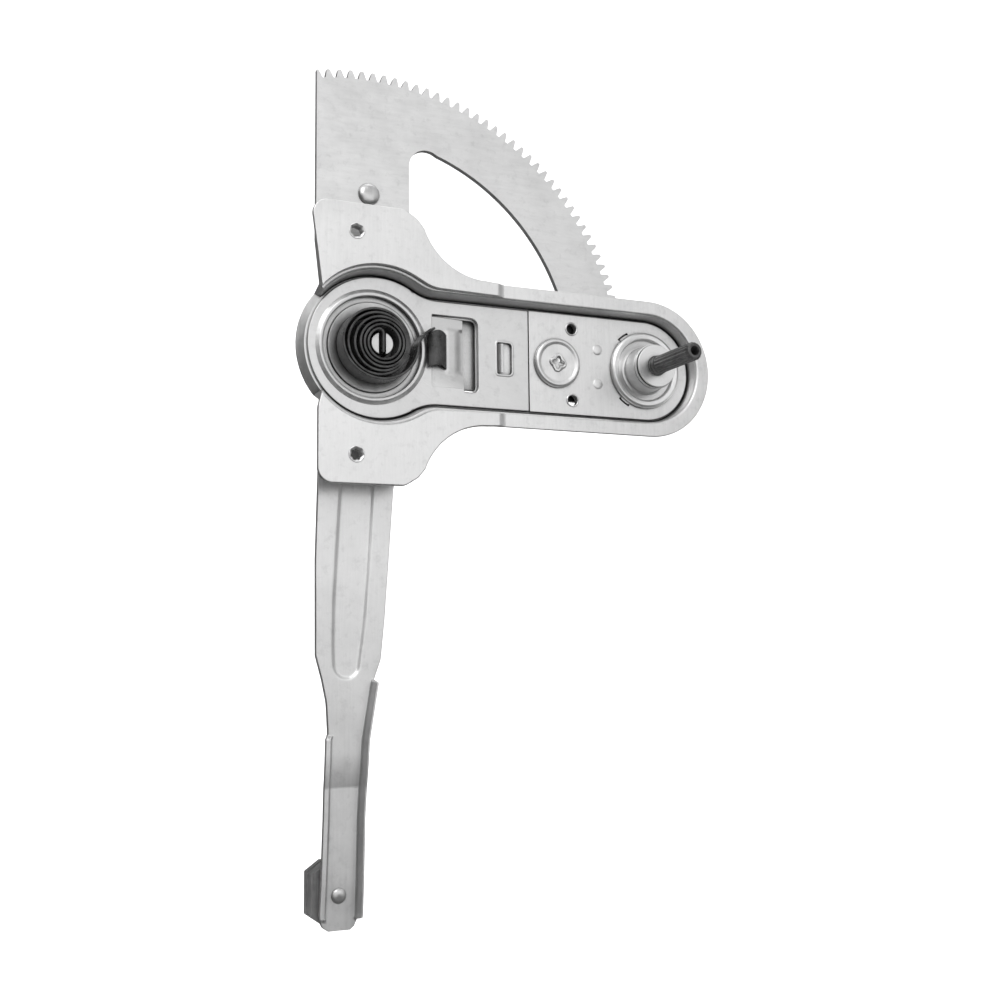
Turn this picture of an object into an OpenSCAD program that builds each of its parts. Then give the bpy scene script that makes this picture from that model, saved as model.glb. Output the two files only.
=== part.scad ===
// Hand-wound window regulator: sector gear, lift arm, counterbalance spring and braked crank spindle.
// The frame origin is midway between the two wing screws, on the wing plate's front face.
// +X runs from the sector pivot to the crank, +Z is up and -Y points out of the mechanism.

/* [Gear] */
// Module of the sector and pinion teeth (mm)
gear_module = 1.76; // [1.5:0.01:2.5]
// Teeth that the sector would have as a full wheel
sector_teeth = 152; // [120:1:180]
// Teeth on the pinion
pinion_teeth = 9; // [8:1:14]
// Profile shift, added to the pinion and taken off the sector (modules)
profile_shift = 0.5; // [0:0.05:0.6]
// Thinning of each tooth flank for running backlash (mm)
flank_relief = 0.07; // [0.02:0.01:0.2]
// Sector sheet thickness (mm)
sector_t = 3; // [2:0.5:4]
// Pinion face width (mm)
pinion_w = 4.4; // [3.5:0.1:6]

/* [Plates] */
// Thickness of the base tray sheet (mm)
base_t = 1.2; // [1:0.1:2]
// Thickness of the ring and crank plates (mm)
inner_t = 1.5; // [1:0.1:2.5]
// Thickness of the wing plate (mm)
wing_t = 2; // [1.5:0.1:3]
// Height of the tray rim above the crank plate (mm)
rim_rise = 6; // [4:0.5:9]
// Distance between the two wing screw holes (mm)
wing_pitch = 103.2; // [95:0.1:110]
// Radius of the wing screw holes (mm)
wing_hole_r = 2.9; // [2.5:0.05:3.4]
// Distance between the two crank plate screw holes (mm)
plate_pitch = 35.8; // [32:0.1:38]
// Radius of the crank plate screw holes (mm)
plate_hole_r = 2.65; // [2.2:0.05:3]

/* [Crank] */
// Radius of the serrated crank spindle (mm)
spindle_r = 4.5; // [4:0.1:5]
// Height of the spindle tip above the sector face (mm)
spindle_top = 53; // [40:1:60]
// Number of serration grooves round the spindle
spindle_grooves = 16; // [12:1:20]
// Radius of the handle screw hole in the spindle tip (mm)
tip_hole_r = 2.1; // [1.6:0.1:2.6]
// Depth of the handle screw hole (mm)
tip_hole_depth = 12; // [8:0.5:16]

/* [Arm and spring] */
// Drop of the shoe stud below the sector pivot (mm)
arm_drop = 246.2; // [220:0.1:260]
// Sideways offset of the shoe stud from the sector pivot (mm)
arm_offset = 14.8; // [5:0.1:20]
// Thickness of the arm sheet (mm)
arm_t = 2.5; // [2:0.1:3.5]
// Height of the arm's right flange above its back face (mm)
flange_h = 7.5; // [5:0.5:12]
// Height of the arm's left flange above its back face (mm)
left_flange_h = 4.5; // [3:0.5:10]
// Distance across the flats of the guide shoe (mm)
shoe_flats = 22.5; // [20:0.1:28]
// Thickness of the guide shoe (mm)
shoe_t = 13.1; // [11:0.1:16]
// Length of the stud's shoulder between the arm and the guide shoe (mm)
shoulder = 1.2; // [0.6:0.1:4]
// Outer radius of the spiral spring (mm)
spring_r = 17.3; // [15:0.1:19]
// Thickness of the spring strip (mm)
spring_t = 1.1; // [0.8:0.1:1.3]
// Width of the spring strip (mm)
spring_w = 9; // [7:0.5:10]

/* [Hidden] */
$fn = 64;

zinc = [0.80, 0.81, 0.82];
zinc_dark = [0.62, 0.63, 0.65];
spring_black = [0.10, 0.10, 0.11];
spindle_black = [0.20, 0.20, 0.21];
nylon_grey = [0.32, 0.33, 0.34];

// Levels above the sector's front face
floor_back = 2.3;
floor_top = floor_back + base_t;
plate_top = floor_top + inner_t;
rim_top = plate_top + rim_rise;
wing_top = rim_top + wing_t;
pivot_x = 12;
arm_back = -sector_t - arm_t;
shoe_back = arm_back - shoulder - shoe_t;

// Gear geometry
crank_x = gear_module * (sector_teeth + pinion_teeth) / 2;
pressure = 20;
sector_tip_r = gear_module * (sector_teeth / 2 + 1 - profile_shift);
sector_root_r = gear_module * (sector_teeth / 2 - 1.25 - profile_shift);
pinion_tip_r = gear_module * (pinion_teeth / 2 + 0.8 + profile_shift);
pinion_root_r = gear_module * (pinion_teeth / 2 - 1.25 + profile_shift);
first_tooth = -3;
last_tooth = 43;
sector_left = -27.6;
band_r = 103.7;

// Tray outline
wall_r = 35.4;
neck_w = 27.4;
rim_w = 7.1;
rim_left = -28;
wing_left = -27.9;
upper_lean = 4.8;
lower_lean = 2;
wall_in = -0.8;
neck_fillet = 20;
fillet_x = sqrt(pow(wall_r + neck_fillet, 2) - pow(neck_w + neck_fillet, 2));
fillet_z = neck_w + neck_fillet;
fillet_a = atan2(fillet_z, fillet_x);
left_a = 139;
ring_r = 33.2;
ring_x = 0.5;
ring_w = 24.9;
ring_fillet = 24;
ring_fillet_x = sqrt(pow(ring_r + ring_fillet, 2) - pow(ring_w + ring_fillet, 2));
ring_hole_r = 24.2;
ring_hole_x = -2;
seam_x = 77.4;
flap_start = 24.9;
flap_drop = 6;
slot_end = 50.9;
slot_z = 18;

// Crank unit
post_r = 5.6;
stud_r = 4.5;
stud_neck_r = 2.7;
run_gap = 0.05;
drum_r = 11;
drum_top = 15.5;
bush_r = 7.6;
journal_r = spindle_r + 0.4;
tab_a = 125;
plate_hole_x = 101;
button_x = 92.6;
button_shank_r = 3;
stack_top = 18;
serration_from = 19.5;

function inv(a) = tan(a) * 180 / PI - a;
function half_angle(r, z, x) =
    (90 + 2 * x * tan(pressure) * 180 / PI) / z + inv(pressure)
    - inv(acos(min(1, gear_module * z / 2 * cos(pressure) / r))) - flank_relief / r * 180 / PI;
function polar(r, a) = [r * cos(a), r * sin(a)];
function base_r(z) = gear_module * z / 2 * cos(pressure);

// Teeth from tooth number a to tooth number b, as points round the pitch circle
function tooth_points(z, x, r_root, r_tip, a, b, steps) =
    let (r_low = max(r_root, base_r(z) + 0.01), pitch = 360 / z)
    [for (k = [a : b]) each concat(
        [polar(r_root, k * pitch - half_angle(r_low, z, x))],
        [for (i = [0 : steps]) let (r = r_low + (r_tip - r_low) * i / steps)
            polar(r, k * pitch - half_angle(r, z, x))],
        [for (i = [steps : -1 : 0]) let (r = r_low + (r_tip - r_low) * i / steps)
            polar(r, k * pitch + half_angle(r, z, x))],
        [polar(r_root, k * pitch + half_angle(r_low, z, x))]
    )];

// Puts a drawing on level h above the sector's front face, facing out of the mechanism
module at(h) {
    translate([pivot_x, wing_top - h, 0])
        rotate([90, 0, 0])
            children();
}

module at_crank(h) {
    at(h)
        translate([crank_x, 0, 0])
            children();
}

module both_sides() {
    children();
    mirror([0, 1, 0])
        children();
}

// Tray outline grown by o; the neck runs into the round end through concave fillets
module tray_outline(o) {
    circle(r = wall_r + o, $fn = 128);
    translate([0, -neck_w - o])
        square([crank_x, 2 * (neck_w + o)]);
    translate([crank_x, 0])
        circle(r = neck_w + o, $fn = 128);
    both_sides()
        difference() {
            polygon([[15, 10], polar(wall_r + o, fillet_a), [fillet_x, neck_w + o], [fillet_x, 10]]);
            translate([fillet_x, fillet_z])
                circle(r = neck_fillet - o, $fn = 128);
        }
}

// Left part of the round end, where the tray has a floor but no wall
module open_side() {
    polygon([[0, 0], polar(70, left_a), polar(70, 180), polar(70, -left_a)]);
}

module base_plate() {
    color(zinc)
        difference() {
            union() {
                at(floor_back)
                    linear_extrude(rim_top - floor_back - 0.5) {
                        tray_outline(wall_in + base_t);
                        intersection() {
                            circle(r = 37, $fn = 128);
                            open_side();
                        }
                    }
                at(rim_top - base_t)
                    linear_extrude(base_t)
                        intersection() {
                            tray_outline(rim_w);
                            translate([rim_left, -80])
                                square([300, 160]);
                        }
            }
            difference() {
                at(floor_top)
                    linear_extrude(20) {
                        tray_outline(wall_in);
                        open_side();
                    }
                at(floor_top - 1)
                    cylinder(r = 8.4, h = inner_t + 1);
            }
            at(0)
                cylinder(r = post_r + run_gap, h = 20);
            at_crank(0)
                cylinder(r = bush_r, h = 5);
            at(0)
                translate([button_x, 0, 0])
                    cylinder(r = button_shank_r, h = 5);
            at(0)
                linear_extrude(floor_top + 1)
                    flap_window(0.6);
            plate_screw_holes();
        }
}

// Window round the pressed-in spring anchor flap, made smaller all round by o
module flap_window(o) {
    translate([flap_start + o, -slot_z + o])
        square([slot_end - flap_start - 2 * o, 2 * (slot_z - o)]);
}

module plate_screw_holes() {
    for (s = [-1, 1])
        at(0)
            translate([plate_hole_x, s * plate_pitch / 2, 0])
                cylinder(r = plate_hole_r, h = 8);
}

// Wing outline above the centre line; its left edge leans out by lean
module wing_half(lean) {
    difference() {
        union() {
            polygon([[wing_left, 20], [wing_left - lean, 58], [11, 58], [11, 20]]);
            translate([wing_left - lean + 7, 50])
                square([9.5 - wing_left + lean - 7, 15]);
            translate([wing_left - lean + 7, 58])
                circle(r = 7);
            translate([9.5, 58])
                circle(r = 7);
            translate([9.5, 12])
                square([43, 46]);
            translate([50, 12])
                square([12, 23]);
            polygon([[9, 50], [14.5, 62.9], [17.5, 61], [20.8, 57], [22, 50]]);
        }
        translate([52, 68])
            circle(r = 33, $fn = 128);
        difference() {
            circle(r = wall_r + 1.8, $fn = 128);
            wing_neck_fillet();
        }
        translate([0, -1])
            square([70, neck_w + 1.7]);
        translate([-60, -1])
            square([60, 23]);
    }
}

module wing_neck_fillet() {
    translate([fillet_x + 1.2, fillet_z])
        circle(r = neck_fillet - 1, $fn = 96);
}

// One wing with its extruded screw hole; side = 1 is the upper wing, -1 the lower one
module wing(side) {
    color(zinc)
        difference() {
            union() {
                at(rim_top)
                    linear_extrude(wing_t)
                        scale([1, side])
                            wing_half(side > 0 ? upper_lean : lower_lean);
                at(rim_top - 3)
                    translate([-pivot_x, side * wing_pitch / 2, 0])
                        cylinder(r = wing_hole_r + 1.3, h = 3.1);
            }
            at(rim_top - 4)
                translate([-pivot_x, side * wing_pitch / 2, 0])
                    cylinder(r = wing_hole_r, h = 8);
        }
}

module upper_wing() {
    wing(1);
}

module lower_wing() {
    wing(-1);
}

module rounded_slot(x0, x1, z, r) {
    translate([x0, -z])
        square([x1 - x0 - r, 2 * z]);
    translate([x0, -z + r])
        square([x1 - x0, 2 * z - 2 * r]);
    for (s = [-1, 1])
        translate([x1 - r, s * (z - r)])
            circle(r = r);
}

module ring_outline() {
    translate([ring_x, 0])
        circle(r = ring_r, $fn = 128);
    translate([ring_x, -ring_w])
        square([seam_x - ring_x, 2 * ring_w]);
    both_sides()
        difference() {
            translate([ring_x + 14, 20])
                square([ring_fillet_x - 14, 11]);
            translate([ring_x + ring_fillet_x, ring_w + ring_fillet])
                circle(r = ring_fillet, $fn = 128);
            translate([ring_x, 0])
                rotate([0, 0, 56])
                    square([60, 30]);
        }
}

// Ring plate with the rolled hole edge, the spring anchor flap and the lipped slot
module ring_plate() {
    color(zinc) {
        at(floor_top)
            linear_extrude(inner_t)
                difference() {
                    ring_outline();
                    translate([ring_hole_x, 0])
                        circle(r = ring_hole_r, $fn = 128);
                    rounded_slot(flap_start, slot_end, slot_z, 4);
                    rounded_slot(60.7, 68.6, 7.8, 1.5);
                }
        at(plate_top)
            translate([ring_hole_x, 0, 0])
                rotate_extrude($fn = 128)
                    intersection() {
                        translate([ring_hole_r + 1, -0.2])
                            circle(r = 1, $fn = 32);
                        translate([ring_hole_r, -0.2])
                            square([3, 1.2]);
                    }
        at(floor_top)
            translate([24.4, -16.5, 0])
                rotate([0, flap_drop, 0])
                    cube([19.2, 33, inner_t]);
        at(floor_top)
            translate([34.4, -8, -0.6])
                cube([1.4, 18, 2.8]);
        at(floor_top)
            translate([60.4, -7, 0])
                rotate([0, -30, 0])
                    cube([3, 14, 1]);
    }
}

module crank_plate() {
    color(zinc)
        difference() {
            union() {
                at(floor_top)
                    linear_extrude(inner_t) {
                        translate([seam_x + 0.3, -ring_w])
                            square([crank_x - seam_x - 0.3, 2 * ring_w]);
                        translate([crank_x, 0])
                            circle(r = ring_w + 0.2, $fn = 128);
                    }
                for (s = [-1, 1])
                    at(floor_top)
                        translate([115.3, s * 8.6, 0])
                            intersection() {
                                translate([0, 0, -1.4])
                                    sphere(r = 3.4, $fn = 48);
                                cylinder(r = 3, h = 8);
                            }
            }
            at_crank(0)
                cylinder(r = bush_r, h = 20);
            at(0)
                translate([button_x, 0, 0])
                    cylinder(r = button_shank_r, h = 20);
            at_crank(0)
                for (s = [-1, 1])
                    rotate([0, 0, s * tab_a - 9.5])
                        rotate_extrude(angle = 19, $fn = 96)
                            translate([19.6, 0])
                                square([1.3, 20]);
            plate_screw_holes();
        }
}

module guide_button() {
    color(zinc) {
        at(0)
            translate([button_x, 0, 0])
                rotate_extrude($fn = 96)
                    polygon([
                        [0, 0.4], [8, 0.4], [8, floor_back], [button_shank_r, floor_back],
                        [button_shank_r, plate_top], [12.4, plate_top], [12.4, plate_top + 0.9],
                        [11.9, plate_top + 1.7], [10.9, plate_top + 2.2], [9.8, plate_top + 2],
                        [9.2, plate_top + 1.6], [3.2, plate_top + 1.6], [2.8, plate_top + 2.2],
                        [0, plate_top + 2.2]
                    ]);
    }
}

// Brake drum: staked collar, annular trough and raised drum that holds the brake spring
module brake_drum() {
    color(zinc) {
        at_crank(plate_top)
            rotate_extrude($fn = 128)
                polygon([
                    [drum_r - 1.3, 0], [19.4, 0], [19.2, 1.0], [18.4, 1.9], [17.4, 2.4], [16.4, 2.4],
                    [15.2, 2.0], [14.2, 1.3], [13.6, 0.5], [13.2, 0.3], [drum_r, 0.3],
                    [drum_r, drum_top - plate_top], [drum_r - 1.3, drum_top - plate_top]
                ]);
        at_crank(plate_top)
            for (s = [-1, 1])
                rotate([0, 0, s * tab_a - 8.5])
                    rotate_extrude(angle = 17, $fn = 96)
                        polygon([
                            [19.7, -inner_t], [20.7, -inner_t], [20.7, 0.5], [19, 0.5],
                            [19, 0], [19.7, 0]
                        ]);
    }
}

module drum_cap() {
    color(zinc)
        at_crank(drum_top)
            difference() {
                cylinder(r = drum_r + 0.2, h = 0.9, $fn = 96);
                translate([0, 0, -1])
                    cylinder(r = journal_r + 0.4, h = 4);
            }
}

module spindle_bush() {
    color(zinc_dark)
        at_crank(floor_back - 1.1)
            difference() {
                union() {
                    cylinder(r = bush_r, h = plate_top - floor_back + 1.1);
                    cylinder(r = 9.5, h = 1);
                }
                translate([0, 0, -1])
                    cylinder(r = journal_r + run_gap, h = 20);
            }
}

module sector_outline() {
    difference() {
        union() {
            circle(r = 30, $fn = 96);
            intersection() {
                polygon(concat(
                    [[0, -14]],
                    tooth_points(sector_teeth, -profile_shift, sector_root_r, sector_tip_r,
                        first_tooth, last_tooth, 3),
                    [polar(sector_tip_r, 103), [sector_left - 4, 0]]
                ));
                polygon([
                    [sector_left, 200], [sector_left, 50], [sector_left + 3.2, 22],
                    [sector_left + 3.2, -30], [200, -30], [200, 200]
                ]);
            }
        }
        intersection() {
            circle(r = band_r, $fn = 192);
            translate([28, 24])
                square([100, 100]);
        }
        translate([18, 32])
            square([10.5, 60]);
        translate([26, 24])
            square([8, 60]);
        translate([26, 32])
            circle(r = 8);
        translate([27, 91.3])
            circle(r = 9);
    }
}

module sector_gear() {
    color(zinc)
        at(-sector_t)
            difference() {
                linear_extrude(sector_t)
                    sector_outline();
                translate([0, 0, -1])
                    cylinder(r = 7, h = 10);
                translate([-2.2, 74.5, -1])
                    cylinder(r = 3.2, h = 10);
            }
}

module arm_outline() {
    polygon([
        [-12, 70], [-12, 30], [-24, 20], [-25, -60], [-26, -98], [-25.7, -141], [-22.7, -152],
        [-20.6, -162], [-19.8, -176], [-21, -178], [-21.8, -213], [-23.2, -247], [-23.2, -256],
        [-20.6, -260.6], [-17.4, -261.8], [-11.6, -261.8], [-8.2, -260.2], [-6.3, -256], [-5.7, -247], [-5.2, -231], [-4.7, -213],
        [-3.7, -196], [-2.8, -179], [0.1, -161], [1.6, -152], [4.8, -143], [6.6, -125], [8.6, -98],
        [11, -64], [24, -18], [22, 20], [8, 34], [8, 70]
    ]);
    circle(r = 27, $fn = 96);
    translate([-2, 70])
        circle(r = 10);
}

module bead_outline() {
    polygon([
        [-14.6, -34], [-15.3, -64], [-16.8, -90], [-18.3, -117], [-18.6, -137], [-18.2, -146],
        [-4.9, -146], [-2.4, -127], [-1, -110], [0.4, -90], [1.8, -63], [2.2, -34]
    ]);
    translate([-11.55, -145.4])
        circle(r = 6.65);
}

// Lift arm: flat beaded upper half, channel-section lower half
module lift_arm() {
    color(zinc)
        difference() {
            union() {
                at(arm_back)
                    linear_extrude(arm_t)
                        arm_outline();
                at(arm_back - 0.9)
                    linear_extrude(1.2)
                        bead_outline();
                at(arm_back)
                    linear_extrude(left_flange_h)
                        polygon([
                            [-21, -178], [-21.8, -213], [-23.2, -247], [-23.2, -256],
                            [-21.7, -256], [-21.7, -247], [-20.3, -213], [-19.5, -178]
                        ]);
                at(arm_back)
                    linear_extrude(flange_h)
                        polygon([
                            [1.6, -152], [0.1, -161], [-2.8, -179], [-3.7, -196], [-4.7, -213],
                            [-5.2, -231], [-5.7, -247], [-6.3, -256], [-7.8, -256], [-7.2, -247],
                            [-6.7, -231], [-6.2, -213], [-5.2, -196], [-4.3, -179], [-1.4, -161],
                            [0.1, -152]
                        ]);
            }
            at(-sector_t - 0.9)
                linear_extrude(2)
                    intersection() {
                        bead_outline();
                        translate([-40, -160])
                            square([60, 126]);
                    }
            at(arm_back - 2)
                cylinder(r = 7, h = 10);
            at(arm_back - 2)
                translate([-2.2, 74.5, 0])
                    cylinder(r = 3.2, h = 10);
            at(arm_back - 2)
                translate([-arm_offset, -arm_drop, 0])
                    cylinder(r = stud_neck_r, h = 10);
        }
}

module arm_rivet() {
    color(zinc_dark)
        at(0)
            translate([-2.2, 74.5, 0])
                rotate_extrude($fn = 64)
                    polygon([
                        [0, arm_back - 1.2], [4.6, arm_back - 1.2], [4.6, arm_back], [3.2, arm_back],
                        [3.2, 0], [5.2, 0], [5.1, 0.6], [4.6, 1.1], [3.6, 1.6], [2.2, 1.9], [0, 2]
                    ]);
}

// Slotted pivot post, riveted through the sector and the arm
module pivot_post() {
    color(zinc_dark)
        difference() {
            at(0)
                rotate_extrude($fn = 96)
                    polygon([
                        [0, arm_back - 2.4], [11, arm_back - 2.4], [11, arm_back], [7, arm_back],
                        [7, 0], [post_r, 0], [post_r, 13], [post_r - 0.5, 13.5], [0, 13.5]
                    ]);
            at(6.2)
                translate([-1.6, -10, 0])
                    cube([3.2, 20, 10]);
        }
}

module pivot_washer() {
    color(zinc_dark)
        at(0)
            difference() {
                cylinder(r = 14, h = floor_back - 0.15);
                translate([0, 0, -1])
                    cylinder(r = post_r, h = 5);
            }
}

module pivot_clip() {
    color(zinc_dark)
        at(plate_top + 0.1)
            difference() {
                cylinder(r = 8.2, h = 0.9);
                translate([0, 0, -1])
                    cylinder(r = post_r, h = 5);
                translate([-1.5, 0, -1])
                    cube([3, 12, 5]);
            }
}

module shoe_stud() {
    color(zinc_dark)
        at(0)
            translate([-arm_offset, -arm_drop, 0])
                rotate_extrude($fn = 64)
                    polygon([
                        [0, shoe_back - 1.8], [7, shoe_back - 1.8], [7, shoe_back - 0.3],
                        [stud_r, shoe_back - 0.3], [stud_r, shoe_back + shoe_t + 0.3],
                        [6.5, shoe_back + shoe_t + 0.3], [6.5, arm_back], [stud_neck_r, arm_back],
                        [stud_neck_r, -sector_t], [3.4, -sector_t], [3.3, -2.6], [2.9, -2.2],
                        [2, -1.9], [0, -1.7]
                    ]);
}

// Middle line of the spring strip: end in the post's slot, coil, then the outer end
coil_from = 108;
coil_to = 2150;
coil_r0 = 6.8;
spring_line = concat(
    [[0, -4], [0, 4.5], [-0.5, 5.8]],
    [for (a = [coil_from : 10.21 : coil_to])
        polar(coil_r0 + (spring_r - spring_t / 2 - coil_r0) * (a - coil_from) / (coil_to - coil_from), a)],
    [[17.1, 0.4], [18.2, 3.3], [20.4, 6.2], [22.8, 8], [25.3, 9]]
);

function unit(v) = v / norm(v);
function line_side(p, d) = [
    for (i = [0 : len(p) - 1])
        let (t = unit(p[min(i + 1, len(p) - 1)] - p[max(i - 1, 0)]))
        p[i] + d * [t[1], -t[0]]
];

module spiral_spring() {
    outer = line_side(spring_line, spring_t / 2);
    inner = line_side(spring_line, -spring_t / 2);
    color(spring_black) {
        at(6.3)
            linear_extrude(spring_w)
                polygon(concat(outer, [for (i = [len(inner) - 1 : -1 : 0]) inner[i]]));
        at(plate_top + 0.5)
            translate([25, -6.6, 0])
                rotate([0, flap_drop, 0])
                    cube([8.7, 16.2, spring_t]);
    }
}

module spindle() {
    color(spindle_black)
        at_crank(0)
            difference() {
                rotate_extrude($fn = 96)
                    polygon([
                        [0, -6.4], [journal_r - 0.5, -6.4], [journal_r, -5.9],
                        [journal_r, stack_top + 0.2], [spindle_r, stack_top + 0.2],
                        [spindle_r, spindle_top - 0.8], [spindle_r - 0.8, spindle_top],
                        [0, spindle_top]
                    ]);
                translate([0, 0, spindle_top - tip_hole_depth])
                    cylinder(r = tip_hole_r, h = 20);
                for (i = [0 : spindle_grooves - 1])
                    rotate([0, 0, (i + 0.5) * 360 / spindle_grooves])
                        translate([spindle_r - 0.4, -0.2, serration_from])
                            cube([1, 0.4, 60]);
            }
}

module pinion() {
    color(zinc_dark)
        at_crank(-sector_t - 0.4)
            difference() {
                linear_extrude(pinion_w)
                    polygon(tooth_points(pinion_teeth, profile_shift, pinion_root_r, pinion_tip_r,
                        0, pinion_teeth - 1, 5));
                translate([0, 0, -1])
                    cylinder(r = journal_r, h = 20);
            }
}

module input_dog() {
    color(zinc_dark)
        at_crank(plate_top + 0.5)
            difference() {
                union() {
                    cylinder(r = 7.2, h = 8.6);
                    translate([5, -2, 0])
                        cube([2.8, 4, 8.6]);
                }
                translate([0, 0, -1])
                    cylinder(r = journal_r, h = 20);
            }
}

// Wrap spring of the brake, wound round the dog
module brake_spring() {
    color(spring_black)
        at_crank(plate_top + 1.2) {
            for (i = [0 : 5])
                translate([0, 0, i * 1.35])
                    rotate_extrude($fn = 64)
                        translate([8.75, 0])
                            circle(r = 0.6, $fn = 20);
            translate([8.75, 0, 0])
                cylinder(r = 0.4, h = 6.75);
        }
}

module wave_washer() {
    color(spindle_black)
        at_crank(drum_top + 1.05)
            difference() {
                cylinder(r = 8.6, h = 0.5);
                translate([0, 0, -1])
                    cylinder(r = journal_r, h = 4);
            }
}

module spindle_washer() {
    color(zinc)
        at_crank(stack_top - 0.9)
            difference() {
                cylinder(r = 10.6, h = 0.9, $fn = 96);
                translate([0, 0, -1])
                    cylinder(r = journal_r, h = 4);
            }
}

module pinion_clip() {
    color(zinc_dark)
        at_crank(-sector_t - 1.6)
            difference() {
                cylinder(r = 7.4, h = 1);
                translate([0, 0, -1])
                    cylinder(r = journal_r, h = 4);
                translate([0, -1.6, -1])
                    cube([12, 3.2, 4]);
            }
}

// Outline with eight sides, taller than it is wide
module shoe_outline(flats) {
    side = flats / 2;
    intersection() {
        square([2 * side, 2.48 * side], center = true);
        rotate([0, 0, 55])
            square([2.5 * side, 4 * side], center = true);
        rotate([0, 0, -55])
            square([2.5 * side, 4 * side], center = true);
    }
}

// Nylon shoe with a groove all round for the glass channel
module guide_shoe() {
    color(nylon_grey)
        at(0)
            translate([-arm_offset, -arm_drop, shoe_back])
                difference() {
                    union() {
                        linear_extrude(3)
                            shoe_outline(shoe_flats);
                        linear_extrude(shoe_t)
                            shoe_outline(shoe_flats - 1.6);
                        translate([0, 0, shoe_t - 3])
                            linear_extrude(3)
                                shoe_outline(shoe_flats);
                    }
                    translate([0, 0, -1])
                        cylinder(r = stud_r + run_gap, h = 20);
                }
}

base_plate();
upper_wing();
lower_wing();
ring_plate();
crank_plate();
guide_button();
brake_drum();
drum_cap();
spindle_bush();
sector_gear();
lift_arm();
arm_rivet();
pivot_post();
pivot_washer();
pivot_clip();
shoe_stud();
spiral_spring();
spindle();
pinion();
input_dog();
brake_spring();
wave_washer();
spindle_washer();
pinion_clip();
guide_shoe();
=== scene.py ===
import math
import bmesh
import bpy
from mathutils import Euler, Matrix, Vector
from mathutils.geometry import tessellate_polygon


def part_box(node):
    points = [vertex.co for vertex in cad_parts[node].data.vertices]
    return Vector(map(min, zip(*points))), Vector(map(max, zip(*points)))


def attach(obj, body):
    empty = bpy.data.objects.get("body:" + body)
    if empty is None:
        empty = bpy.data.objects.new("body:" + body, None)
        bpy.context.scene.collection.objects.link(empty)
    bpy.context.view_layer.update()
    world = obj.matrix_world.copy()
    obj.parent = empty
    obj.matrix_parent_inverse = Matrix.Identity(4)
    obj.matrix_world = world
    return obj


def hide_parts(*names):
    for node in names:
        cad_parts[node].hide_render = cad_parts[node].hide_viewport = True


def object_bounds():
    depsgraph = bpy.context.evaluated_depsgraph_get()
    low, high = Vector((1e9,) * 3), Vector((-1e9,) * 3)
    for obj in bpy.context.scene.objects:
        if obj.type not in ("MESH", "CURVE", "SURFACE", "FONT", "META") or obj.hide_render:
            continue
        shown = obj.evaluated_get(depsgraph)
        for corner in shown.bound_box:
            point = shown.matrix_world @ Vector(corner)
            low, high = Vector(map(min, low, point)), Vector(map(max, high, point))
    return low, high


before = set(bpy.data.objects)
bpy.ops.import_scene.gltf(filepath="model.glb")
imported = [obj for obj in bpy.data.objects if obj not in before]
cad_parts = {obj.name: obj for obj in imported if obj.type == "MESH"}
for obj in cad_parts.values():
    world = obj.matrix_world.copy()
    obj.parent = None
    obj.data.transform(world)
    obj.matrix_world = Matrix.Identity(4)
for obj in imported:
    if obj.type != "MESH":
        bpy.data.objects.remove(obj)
cad_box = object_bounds()
MM = 0.001


def middle(node):
    """The centre of a CAD node's box, in metres."""
    low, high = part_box(node)
    return (low + high) / 2


# ---------------------------------------------------------------- places, from the CAD frame
# Every drawing is in mm, seen from the front: x and z run from the sector pivot, and h is the
# level above the sector's front face, towards the viewer.

PIVOT_X = middle("pivot_post").x
SECTOR_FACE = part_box("sector_gear")[0].y


def front(node):
    """Level of the side of a CAD node that faces the viewer."""
    return (SECTOR_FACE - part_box(node)[0].y) / MM


def back(node):
    """Level of the side of a CAD node that faces away."""
    return (SECTOR_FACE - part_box(node)[1].y) / MM


def at(x, z, h):
    """The point of the CAD frame, in metres, for a place in the drawing."""
    return Vector((PIVOT_X + x * MM, SECTOR_FACE - h * MM, z * MM))


CRANK = (middle("spindle").x - PIVOT_X) / MM
BUTTON = (middle("guide_button").x - PIVOT_X) / MM

# sheets and levels
SHEET_T = 1.2
INNER_T = 1.5
ARM_T = 2.5
FLOOR_BACK = back("base_plate")
FLOOR_TOP = FLOOR_BACK + SHEET_T
PLATE_TOP = FLOOR_TOP + INNER_T
PLATE_BACK = FLOOR_TOP + 0.02
RIM_TOP = front("base_plate")
WING_TOP = front("upper_wing")
ARM_BACK = back("sector_gear") - ARM_T
DRUM_TOP = back("drum_cap")

# the tray's wall: a round end at the pivot, a fillet, a straight neck and a round end at the crank;
# no wall stands on the pivot's left, beyond OPEN_A degrees, where the sheet has a low edge instead
WALL_R = 35.4
NECK = 27.4
FILLET = 20.0
FILLET_X = math.sqrt((WALL_R + FILLET) ** 2 - (NECK + FILLET) ** 2)
FILLET_Z = NECK + FILLET
FILLET_A = math.degrees(math.atan2(FILLET_Z, FILLET_X))
OPEN_A = 139
RIM_LEFT = -28.0
RIM_W = 7.1
LOW_EDGE_W = 1.55
LOW_EDGE_DROP = 2.8
POST_HOLE_R = 5.65
BUTTON_HOLE_R = 3.0

# wings
WING_LEFT = -27.9
WING_GAP = 1.8
WING_HOLE_X = -PIVOT_X / MM
WING_HOLE_Z = 103.2 / 2
WING_RIGHT = 62.0
RAMP = (57.9, 61.9)
RAMP_CUTS = 8
RAMP_DEPTH = 0.88
UPPER_LEAN = 4.8
LOWER_LEAN = 2.0
STEEP_LEAN = 3.0

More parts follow.
